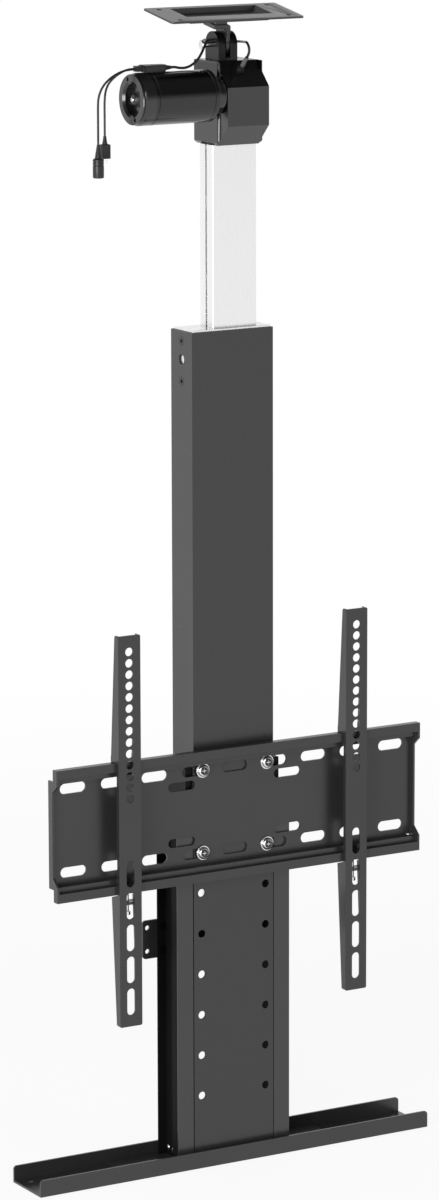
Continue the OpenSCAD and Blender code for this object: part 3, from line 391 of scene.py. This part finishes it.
def pressPanel(piece, along, margin, depth):
    pickFaces(piece, along)
    bpy.ops.mesh.inset(thickness=margin * mm)
    bpy.ops.transform.translate(value=[-a * depth * mm for a in along])
    bpy.ops.object.mode_set(mode="OBJECT")


def choosePiece(piece):
    deselectAll()
    piece.select_set(True)
    bpy.context.view_layer.objects.active = piece


def copyPiece(piece, name, shift):
    choosePiece(piece)
    bpy.ops.object.duplicate(linked=False)
    copy = bpy.context.object
    copy.name = name
    copy.location = shift
    bpy.ops.object.transform_apply(location=True, rotation=False, scale=False)
    return copy


def joinPieces(pieces):
    deselectAll()
    for piece in pieces:
        piece.select_set(True)
    bpy.context.view_layer.objects.active = pieces[0]
    bpy.ops.object.join()
    return bpy.context.object


def cutPiece(piece, cutter):
    choosePiece(piece)
    bpy.ops.object.modifier_add(type="BOOLEAN")
    cut = piece.modifiers[-1]
    cut.operation = "DIFFERENCE"
    cut.solver = "EXACT"
    cut.object = cutter
    bpy.ops.object.modifier_apply(modifier=cut.name)
    bpy.data.objects.remove(cutter)


pieceEdge = {
    "segments": 2,
    "sharperThan": 35,     # degrees between two faces, for an edge to be rounded
    "smoothUpTo": 32,      # degrees between two faces, for an edge to be shaded smooth
}


def roundEdges(piece, width):
    choosePiece(piece)
    bpy.ops.object.modifier_add(type="BEVEL")
    bevel = piece.modifiers[-1]
    bevel.width = width * mm
    bevel.segments = pieceEdge["segments"]
    bevel.limit_method = "ANGLE"
    bevel.angle_limit = math.radians(pieceEdge["sharperThan"])
    bpy.ops.object.modifier_apply(modifier=bevel.name)


def dressPiece(piece, finish, body, *replaced):
    choosePiece(piece)
    bpy.ops.object.shade_smooth_by_angle(angle=math.radians(pieceEdge["smoothUpTo"]))
    piece.data.materials.clear()
    piece.data.materials.append(finishes[finish])
    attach(piece, body)
    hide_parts(*replaced)


# the middle of a CAD node's low X face, where a piece turned along X starts
def axisStart(nodeName):
    low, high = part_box(nodeName)
    return Vector((low.x, (low.y + high.y) / 2, (low.z + high.z) / 2))


# Pieces on the cords

# their places, and the cords' routes, are in mm from a point on the lift's middle line
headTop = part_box("gearbox_cover")[1].z
onHead = Vector((0, 0, headTop))

mouldingSettings = {
    "centre": Vector((-98, -24, -3)),
    "body": (26, 16.6, 7.4),
    "narrowEnd": 8.6,
    "blockWidth": 8.4,
    "blockEdge": 0.9,                            # the body's edge round the block
    "blockSteps": (2.4, 0.8, 2.4, 0.8, 2.6),     # the lands and grooves of the block, 9 mm in all
    "groove": 0.86,                              # share of its thickness that the block keeps in a groove
    "slope": 0.1,                                # length over which a groove starts or ends
    "panel": (1.3, 0.35),                        # margin and depth
    "rounding": 0.35,
    "relief": (9, 3.2, 1.7, 4, 0.35),            # length, first and last radius, ribs, depth of a groove
}


def buildMoulding(settings):
    length, width = settings["body"][:2]
    edge, slope = settings["blockEdge"], settings["slope"]
    centre = settings["centre"] * mm + onHead
    moulding = startBlock("yMoulding", centre, settings["body"])
    pickFaces(moulding, (1, 0, 0))
    bpy.ops.transform.resize(value=(1, settings["narrowEnd"] / width, 1))
    bpy.ops.object.mode_set(mode="OBJECT")
    pickFaces(moulding, (-1, 0, 0))
    bpy.ops.mesh.inset(thickness=edge * mm)
    bpy.ops.transform.resize(value=(1, settings["blockWidth"] / (width - 2 * edge), 1))
    for k, step in enumerate(settings["blockSteps"]):
        if k:
            pinch = settings["groove"] if k % 2 else 1 / settings["groove"]
            extrudeBy(-slope, 0, 0)
            bpy.ops.transform.resize(value=(1, pinch, pinch))
            step -= slope
        extrudeBy(-step, 0, 0)
    bpy.ops.object.mode_set(mode="OBJECT")
    for side in (1, -1):
        pressPanel(moulding, (0, 0, side), *settings["panel"])
    roundEdges(moulding, settings["rounding"])
    start = centre + Vector((length / 2 * mm, 0, 0))
    relief = turnPiece("mouldingRelief", ribRings(*settings["relief"]), start, (1, 0, 0), coarseSides)
    dressPiece(joinPieces([moulding, relief]), "black_plastic", "carriage", "y_splitter")


buildMoulding(mouldingSettings)

plugSettings = {
    "top": Vector((-142.5, 2.5, -75)),
    "boot": (9, 1.7, 3.0, 5, 0.4),               # length, first and last radius, ribs, depth of a groove
    "body": (10.5, 7, 15),
    "shoulder": (0.8, 0.6, 0.8),                 # its margin and height, and how far it narrows
    "panel": (1.8, 0.5),
    "rounding": 0.6,
    "pin": (0.8, 4.5, 2.0),                      # radius, length, distance from the middle
    "pinTip": ((0.8, 1), (0.3, 0.75), (0, 0.3)),     # distance before the tip, share of the radius
    "pinSides": 20,
}


def buildPlug(settings):
    top = settings["top"] * mm + onHead
    boot = turnPiece("plugBoot", ribRings(*settings["boot"]), top, (0, 0, -1), coarseSides)
    bootLength, height = settings["boot"][0], settings["body"][2]
    middle = top - Vector((0, 0, (bootLength + height / 2) * mm))
    body = startBlock("plugBody", middle, settings["body"])
    margin, rise, narrower = settings["shoulder"]
    pickFaces(body, (0, 0, 1))
    bpy.ops.mesh.inset(thickness=margin * mm)
    extrudeBy(0, 0, rise)
    bpy.ops.transform.resize(value=(narrower, narrower, 1))
    bpy.ops.object.mode_set(mode="OBJECT")
    for side in (1, -1):
        pressPanel(body, (0, side, 0), *settings["panel"])
    roundEdges(body, settings["rounding"])
    dressPiece(joinPieces([body, boot]), "black_plastic", "carriage", "plug_connector")
    radius, length, apart = settings["pin"]
    rings = [(0, radius)] + [(length - back, share * radius) for back, share in settings["pinTip"]]
    foot = middle - Vector((0, 0, height / 2 * mm))
    pins = [turnPiece("plugPins", rings, foot + Vector((side * apart * mm, 0, 0)), (0, 0, -1),
                      settings["pinSides"])
            for side in (-1, 1)]
    dressPiece(joinPieces(pins), "zinc_plated_steel", "carriage", "plug_connector")


buildPlug(plugSettings)

socketSettings = {
    "top": Vector((-165, -23.6, -81)),
    "boot": (14, 1.7, 4.0, 6, 0.45),             # length, first and last radius, ribs, depth of a groove
    "barrel": [(0, 4.2), (0.8, 5.4), (1.6, 6), (3.2, 6), (3.6, 5.6), (4.4, 5.6), (4.8, 6), (6.4, 6),
               (6.8, 5.6), (7.6, 5.6), (8, 6), (19.6, 6), (20.6, 5.7), (21, 5.2), (21, 3.6), (20.6, 3.2)],
    "well": [(10, 3.2), (10, 1.2), (15.5, 1.0), (16, 0.4)],    # the bore and the contact that stands in it
    "sides": 40,
}


def buildSocket(settings):
    top = settings["top"] * mm + onHead
    boot = turnPiece("socketBoot", ribRings(*settings["boot"]), top, (0, 0, -1), coarseSides)
    bootLength = settings["boot"][0]
    start = top - Vector((0, 0, bootLength * mm))
    rings = settings["barrel"] + settings["well"]
    barrel = turnPiece("socketBarrel", rings, start, (0, 0, -1), settings["sides"])
    dressPiece(joinPieces([barrel, boot]), "black_plastic", "carriage", "socket_connector")


buildSocket(socketSettings)

sleeveSettings = {
    "end": Vector((7, -41.99, 5.02)),
    "axis": Vector((0, -0.7138, 0.7004)),
    "ribs": (13, 2.5, 2.0, 7, 0.25),             # length, first and last radius, ribs, depth of a groove
    "sides": 28,
}


def buildSleeve(settings):
    length = settings["ribs"][0]
    start = (settings["end"] - length * settings["axis"]) * mm + onHead
    sleeve = turnPiece("glandSleeve", ribRings(*settings["ribs"]), start, settings["axis"], settings["sides"])
    dressPiece(sleeve, "grey_sleeve", "carriage", "gland_sleeve")


buildSleeve(sleeveSettings)
print("cord pieces made")


# Cords

cordSteps = 6              # between two points of a route
cordRoundness = 4

cordSettings = {
    "power_cable": {
        "diameter": 2.8 * mm,
        "farEnd": "connector",
        "with": ["yMoulding"],
        "route": [[7, -41.99, 5.03], [7, -44.28, 7.27], [7, -46.7, 12.2], [7, -45.5, 17.2],
                  [7.6, -41.5, 20.2], [9.4, -36.5, 20.8], [12.4, -30.5, 20.4], [16, -23, 19.8],
                  [19.4, -15, 19.2], [22.4, -7, 18.7], [24.2, 1.5, 18.3], [23.6, 10, 18], [19.3, 17, 17.8],
                  [12, 21, 17.7], [4, 22.2, 17.7], [-4, 21.2, 17.9], [-10.9, 17.3, 18.9],
                  [-15.6, 10.9, 20.6], [-18.4, 3.6, 21.7], [-21, -3.4, 21.5], [-25.2, -9.4, 18.9],
                  [-30.4, -14.4, 14.4], [-36, -18.6, 8.9], [-42.4, -21.8, 3.3], [-49.8, -23.6, -1.3],
                  [-57.6, -24, -4.1], [-65, -24, -4.2], [-72, -24, -3], [-76, -24, -3]],
    },
    "plug_lead": {
        "diameter": 2.4 * mm,
        "farEnd": "plug",
        "with": ["plugBody", "plugPins"],
        "route": [[-120, -21.8, -3], [-123, -21.8, -3], [-128.5, -20, -4], [-133.5, -16.5, -7],
                  [-137.5, -12, -11.2], [-140.5, -7, -16.4], [-142, -2.5, -22.4], [-142.5, 0.5, -29],
                  [-142.5, 2, -35.8], [-142.5, 2.5, -42.5], [-142.5, 2.5, -49], [-142.5, 2.5, -55.5],
                  [-142.5, 2.5, -62], [-142.5, 2.5, -68.5], [-142.5, 2.5, -75]],
    },
    "socket_lead": {
        "diameter": 2.4 * mm,
        "farEnd": "connector",
        "with": ["socketBarrel"],
        "route": [[-120, -26.2, -3], [-123, -26.2, -3], [-129.5, -27.4, -3.2], [-136.5, -28.6, -4],
                  [-143.5, -28.8, -6.2], [-150, -28.2, -9.6], [-155.5, -27.2, -14], [-160, -26, -19.4],
                  [-163, -25, -25.6], [-164.6, -24.2, -32.2], [-165, -23.8, -39], [-165, -23.6, -46],
                  [-165, -23.6, -53], [-165, -23.6, -60], [-165, -23.6, -67], [-165, -23.6, -74],
                  [-165, -23.6, -81]],
    },
}


def layCord(name, settings):
    points = [Vector((x * mm, y * mm, z * mm + headTop)) for x, y, z in settings["route"]]
    deselectAll()
    bpy.ops.curve.primitive_bezier_curve_add(location=(0, 0, 0))
    curve = bpy.context.object
    curve.name = name + "_run"
    curve.data.dimensions = "3D"
    spline = curve.data.splines[0]
    spline.bezier_points.add(len(points) - 2)
    for knot, point in zip(spline.bezier_points, points):
        knot.co = point
        knot.handle_left_type = "AUTO"
        knot.handle_right_type = "AUTO"
    spline.resolution_u = cordSteps
    curve.data.bevel_depth = settings["diameter"] / 2
    curve.data.bevel_resolution = cordRoundness
    curve.data.use_fill_caps = True
    curve.data.materials.append(finishes["cable_jacket"])
    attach(curve, "carriage")
    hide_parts(name)


for cordName, settings in cordSettings.items():
    layCord(cordName, settings)
print("cords laid")


# Turned metal pieces

smoothSides = 96           # of the motor's can and cap

canSettings = {
    "rolledEnd": [(0, 1.5), (0.3, 0.7), (1.0, 0.15), (2.2, 0)],     # distance from the end, lost radius
    "groove": (6.4, 1.9, 0.7),     # where it lies from each end, its width and its depth
}


def buildCan(settings):
    low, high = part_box("motor_can")
    radius = (high.z - low.z) / 2 / mm
    length = (high.x - low.x) / mm
    at, width, depth = settings["groove"]
    nearEnd = [(reach, radius - less) for reach, less in settings["rolledEnd"]]
    nearEnd += [(at - width / 2, radius), (at - width / 4, radius - depth), (at + width / 4, radius - depth),
                (at + width / 2, radius)]
    farEnd = [(length - reach, size) for reach, size in reversed(nearEnd)]
    can = turnPiece("motorCan", nearEnd + farEnd, axisStart("motor_can"), (1, 0, 0), smoothSides)
    dressPiece(can, "gloss_black_motor", "carriage", "motor_can")


buildCan(canSettings)

capSettings = {
    "length": 16,                  # from the can to the outer face
    # distance from the can, and how much smaller the cap is there than the can
    "shoulder": [(0, 0), (9.8, 0), (10.4, 0.1), (13.2, 1.8), (13.5, 2.6), (14.2, 2.6), (14.4, 1.1),
                 (15.5, 1.1), (16, 1.6)],
    "recess": [(16, 19.6), (13.6, 17.2), (8, 17)],     # distance and radius
    "screwCircle": 22.5,
    "screwTurns": (70, 250),       # degrees
    "screwHole": (2.4, 5),         # radius and depth
    "drillLead": 5,                # how far outside the face the drill starts
    "hub": [(0, 8.6), (1.4, 8.4), (2, 7.2), (5.2, 5.6), (5.8, 4.9), (6, 2)],
    "shaftEnd": [(5, 2.6), (6.9, 2.6), (7.4, 2.2), (7.6, 1.2)],
}


def buildCap(settings):
    low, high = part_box("motor_end_cap")
    outer = (high.z - low.z) / 2 / mm
    face = axisStart("motor_end_cap")
    start = face + Vector((settings["length"] * mm, 0, 0))
    rings = [(reach, outer - less) for reach, less in settings["shoulder"]] + settings["recess"]
    cap = turnPiece("motorEndCap", rings, start, (-1, 0, 0), smoothSides)
    radius, depth = settings["screwHole"]
    lead = settings["drillLead"]
    for turn in settings["screwTurns"]:
        angle = math.radians(turn)
        aside = Vector((0, math.cos(angle), math.sin(angle))) * settings["screwCircle"] * mm
        drillStart = face + aside - Vector((lead * mm, 0, 0))
        cutPiece(cap, turnPiece("capDrill", [(0, radius), (lead + depth, radius)], drillStart, (1, 0, 0),
                                coarseSides))
    dressPiece(cap, "painted_casting", "carriage", "motor_end_cap")
    floor = start - Vector((settings["recess"][-1][0] * mm, 0, 0))
    dressPiece(turnPiece("motorHub", settings["hub"], floor, (-1, 0, 0)), "dark_steel", "carriage")
    first = settings["shaftEnd"][0][0]
    rings = [(reach - first, radius) for reach, radius in settings["shaftEnd"]]
    tip = turnPiece("shaftEnd", rings, floor - Vector((first * mm, 0, 0)), (-1, 0, 0), coarseSides)
    dressPiece(tip, "bright_steel", "rotor")


buildCap(capSettings)

pivotSettings = {
    "head": [(0, 2.4), (0.2, 3.8), (0.7, 4.6), (1.4, 5), (2.1, 5), (2.4, 4.7)],
    "shank": 3.0,
    "lead": 0.9,           # length of the chamfer at the tip
}


def buildPivotBolt(settings):
    low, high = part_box("pivot_bolt")
    length = (high.x - low.x) / mm
    radius, lead = settings["shank"], settings["lead"]
    headEnd = settings["head"][-1][0]
    rings = settings["head"] + [(headEnd, radius), (length - lead, radius), (length, radius - lead)]
    bolt = turnPiece("pivotBolt", rings, axisStart("pivot_bolt"), (1, 0, 0))
    dressPiece(bolt, "zinc_plated_steel", "carriage", "pivot_bolt")


buildPivotBolt(pivotSettings)

plateBoltSettings = {
    "head": [(0, 6.5), (0.3, 6.8), (1.5, 6.8), (2.5, 6.3), (3.3, 5.5), (3.6, 4.9), (2.6, 4.6)],
    "heart": [(2.4, 4.5), (3.0, 4.2), (3.3, 3.2), (3.4, 0.5)],     # the middle with the driver's cross, dark steel as painted shade of the recess
    "heartSides": 32,
    "shank": 3.0,
    "lead": 0.6,                  # length of the chamfer at the tip
    "cross": (1.5, 6.6, 1.8),     # width, length and depth of the driver's cross
    "crossTaper": 0.7,            # share of its width that the cross keeps at its bottom
}


def buildPlateBolts(settings):
    low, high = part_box("plate_bolts")
    radius = max(size for reach, size in settings["head"]) * mm
    seat = low.y + max(reach for reach, size in settings["head"]) * mm
    first = Vector((low.x + radius, seat, low.z + radius))
    head = turnPiece("plateBolt", settings["head"], first, (0, -1, 0))
    width, length, depth = settings["cross"]
    face = Vector((first.x, low.y, first.z))
    sunk = settings["heart"][0][0]
    heart = turnPiece("boltHeart", [(reach - sunk, size) for reach, size in settings["heart"]],
                      first - Vector((0, sunk * mm, 0)), (0, -1, 0), settings["heartSides"])
    taper = settings["crossTaper"]
    for size in ((width, 2 * depth, length), (length, 2 * depth, width)):
        cutter = startBlock("crossCutter", face, size)
        pickFaces(cutter, (0, 1, 0))
        bpy.ops.transform.resize(value=(taper, 1, taper))
        bpy.ops.object.mode_set(mode="OBJECT")
        cutPiece(heart, cutter)
    thick, lead = settings["shank"], settings["lead"]
    shankLength = (high.y - seat) / mm
    rings = [(0, thick), (shankLength - lead, thick), (shankLength, thick - lead)]
    shank = turnPiece("plateShank", rings, first, (0, 1, 0), coarseSides)
    bolt = joinPieces([head, shank])
    across, up = high.x - low.x - 2 * radius, high.z - low.z - 2 * radius
    shifts = ((across, 0, 0), (0, 0, up), (across, 0, up))
    # the bolts are zinc, and their middles dark steel whose darkness is painted shade
    parts = ((bolt, "plateBolts", "zinc_plated_steel"), (heart, "boltHearts", "dark_steel"))
    for piece, name, finish in parts:
        joined = joinPieces([piece] + [copyPiece(piece, name, shift) for shift in shifts])
        joined.name = name
        dressPiece(joined, finish, "carriage", "plate_bolts")


buildPlateBolts(plateBoltSettings)

footScrewSettings = {
    "at": ((16.5, 14), (5, 13)),     # y and height above the floor
    "tip": 55,                       # distance of the tip from the middle of the lift
    "rings": [(0, 1.6), (0.4, 2), (7, 2), (7, 3.1), (7.4, 3.3), (8.0, 3.2), (8.6, 2.6), (9.0, 1.7),
              (9.2, 0.5)],
    "sides": 28,
}


def buildFootScrews(settings):
    screws = [turnPiece("footScrew", settings["rings"], Vector((side * settings["tip"], y, z)) * mm,
                        (side, 0, 0), settings["sides"])
              for side in (-1, 1) for y, z in settings["at"]]
    screws = joinPieces(screws)
    screws.name = "footScrews"
    dressPiece(screws, "zinc_plated_steel", "base", "foot_screws")


buildFootScrews(footScrewSettings)
print("turned pieces made")


# Soft edges on the CAD pieces

edgeSettings = {
    "sheet": (0.5 * mm, ["base_channel", "foot_plate", "guide_rail_left", "guide_rail_right", "wall_bracket",
                         "inner_column", "tv_plate", "top_plate", "top_bracket", "slide_stage_left",
                         "slide_stage_right"]),
    "cast": (1.2 * mm, ["gearbox_housing", "gearbox_cover", "clevis_fork", "motor_flange"]),
    "arms": (1.2 * mm, ["left_arm", "right_arm"]),
    "turned": (0.4 * mm, ["pivot_nut", "plate_washers", "clamp_block", "cable_gland"]),
}

nodeEdge = {
    "weld": 0.01 * mm,
    "flatUpTo": 0.5,       # degrees between two triangles of one flat face
    "segments": 3,
    "sharperThan": 40,     # degrees between two faces, for an edge to be rounded
}


# a CAD node's triangles are first made whole flat faces, so that the bevel leaves no slivers
def softenEdges(node, width):
    weld = node.modifiers.new("weld", "WELD")
    weld.merge_threshold = nodeEdge["weld"]
    flat = node.modifiers.new("flat", "DECIMATE")
    flat.decimate_type = "DISSOLVE"
    flat.angle_limit = math.radians(nodeEdge["flatUpTo"])
    bevel = node.modifiers.new("edges", "BEVEL")
    bevel.width = width
    bevel.segments = nodeEdge["segments"]
    bevel.limit_method = "ANGLE"
    bevel.angle_limit = math.radians(nodeEdge["sharperThan"])
    bevel.harden_normals = True


for width, names in edgeSettings.values():
    for name in names:
        softenEdges(nodes[name], width)
print("edges softened")


# Studio

studioSettings = {
    "floor": 24.0,
    "floorDrop": 0.5 * mm,                   # how far the floor lies under the channel
    "floorRoughness": 0.9,
    "floorFade": (0.7, 2.6),                 # metres from the object where the floor turns plain white
    "floorShade": 0.13,                      # the part of its brightness that the shadow can take away
    "floorGlow": 0.89,
    "bounce": 0.3,                           # how bright the floor is for all but the camera and gloss
    "ambient": 0.22,
    "ceiling": 0.03,                         # how bright the dark ceiling looks in gloss
    "roomFront": 0.12,                       # and the dark room behind the camera
    "ceilingEdge": (0.5, 0.75),              # heights, of 1 for straight up, where the ceiling darkens
    "roomFrontEdge": (-0.05, 0.3),           # and where the room behind the camera does
    "frontToBack": (-0.25, 0.25),            # where the room's front turns into its back
}

lampAim = Vector((0, 0, 0.65))
lampSettings = {
    # place, size in metres, watts, seen in gloss, share of its light on plain surfaces
    "keySoftbox": ((-3.2, -3.6, 2.9), 1.8, 60, True, 1.0),
    "fillSoftbox": ((2.6, -3.0, 1.2), 2.2, 15, False, 1.0),
    "edgeSoftbox": ((-3.0, -1.75, 0.6), 1.7, 85, True, 0.0),     # only for rounded edges and bends
    "topSoftbox": ((0.2, 0.4, 3.8), 2.6, 18, False, 1.0),
}


def addSoftbox(name, place, size, watts, inGloss, onPlain):
    bpy.ops.object.light_add(type="AREA", location=place)
    lamp = bpy.context.object
    lamp.name = name
    lamp.data.size = size
    lamp.data.energy = watts
    lamp.visible_glossy = inGloss
    lamp.data.diffuse_factor = onPlain
    lamp.rotation_mode = "QUATERNION"
    lamp.rotation_quaternion = (lampAim - lamp.location).to_track_quat("-Z", "Y")


# the camera and gloss see the floor's glow; the rest of the scene sees its dimmer bounce
def buildFloor(settings):
    deselectAll()
    bpy.ops.mesh.primitive_plane_add(size=settings["floor"], location=(0, 0, -settings["floorDrop"]))
    floor = bpy.context.object
    floor.name = "studioFloor"
    material, tree, shader = newMaterial("paleFloor")
    shader.inputs["Roughness"].default_value = settings["floorRoughness"]
    shader.inputs["Specular IOR Level"].default_value = 0.0
    reach = tree.nodes.new("ShaderNodeVectorMath")
    reach.operation = "LENGTH"
    tree.links.new(objectPlace(tree), reach.inputs[0])
    away = reach.outputs["Value"]
    shade = ramped(tree, away, *settings["floorFade"], settings["floorShade"], 0.0)
    glow = ramped(tree, away, *settings["floorFade"], settings["floorGlow"], 1.0)
    path = tree.nodes.new("ShaderNodeLightPath")
    seen = workedOut(tree, "MAXIMUM", path.outputs["Is Camera Ray"], path.outputs["Is Glossy Ray"])
    tree.links.new(shade, shader.inputs["Base Color"])
    shader.inputs["Emission Color"].default_value = (1, 1, 1, 1)
    tree.links.new(blendValues(tree, seen, settings["bounce"], glow), shader.inputs["Emission Strength"])
    floor.data.materials.append(material)


# the room is white to the camera, dim to plain surfaces, and white with a dark ceiling and front in gloss
def buildRoom(settings):
    world = bpy.data.worlds.new("studio")
    bpy.context.scene.world = world
    world.use_nodes = True
    tree = world.node_tree
    sky = tree.nodes["Background"]
    sky.inputs["Color"].default_value = (1, 1, 1, 1)
    path = tree.nodes.new("ShaderNodeLightPath")
    place = tree.nodes.new("ShaderNodeTexCoord")
    towards = tree.nodes.new("ShaderNodeSeparateXYZ")
    tree.links.new(place.outputs["Generated"], towards.inputs["Vector"])
    height = towards.outputs["Z"]
    ceiling = ramped(tree, height, *settings["ceilingEdge"], 1.0, settings["ceiling"])
    front = ramped(tree, height, *settings["roomFrontEdge"], 1.0, settings["roomFront"])
    backward = ramped(tree, towards.outputs["Y"], *settings["frontToBack"], 0.0, 1.0)
    whole = blendValues(tree, backward, front, ceiling)
    others = blendValues(tree, path.outputs["Is Glossy Ray"], settings["ambient"], whole)
    level = blendValues(tree, path.outputs["Is Camera Ray"], others, 1.0)
    tree.links.new(level, sky.inputs["Strength"])


buildFloor(studioSettings)
for name, lamp in lampSettings.items():
    addSoftbox(name, *lamp)
buildRoom(studioSettings)
bpy.context.scene.view_settings.view_transform = "Standard"
print("studio built")

print("done")
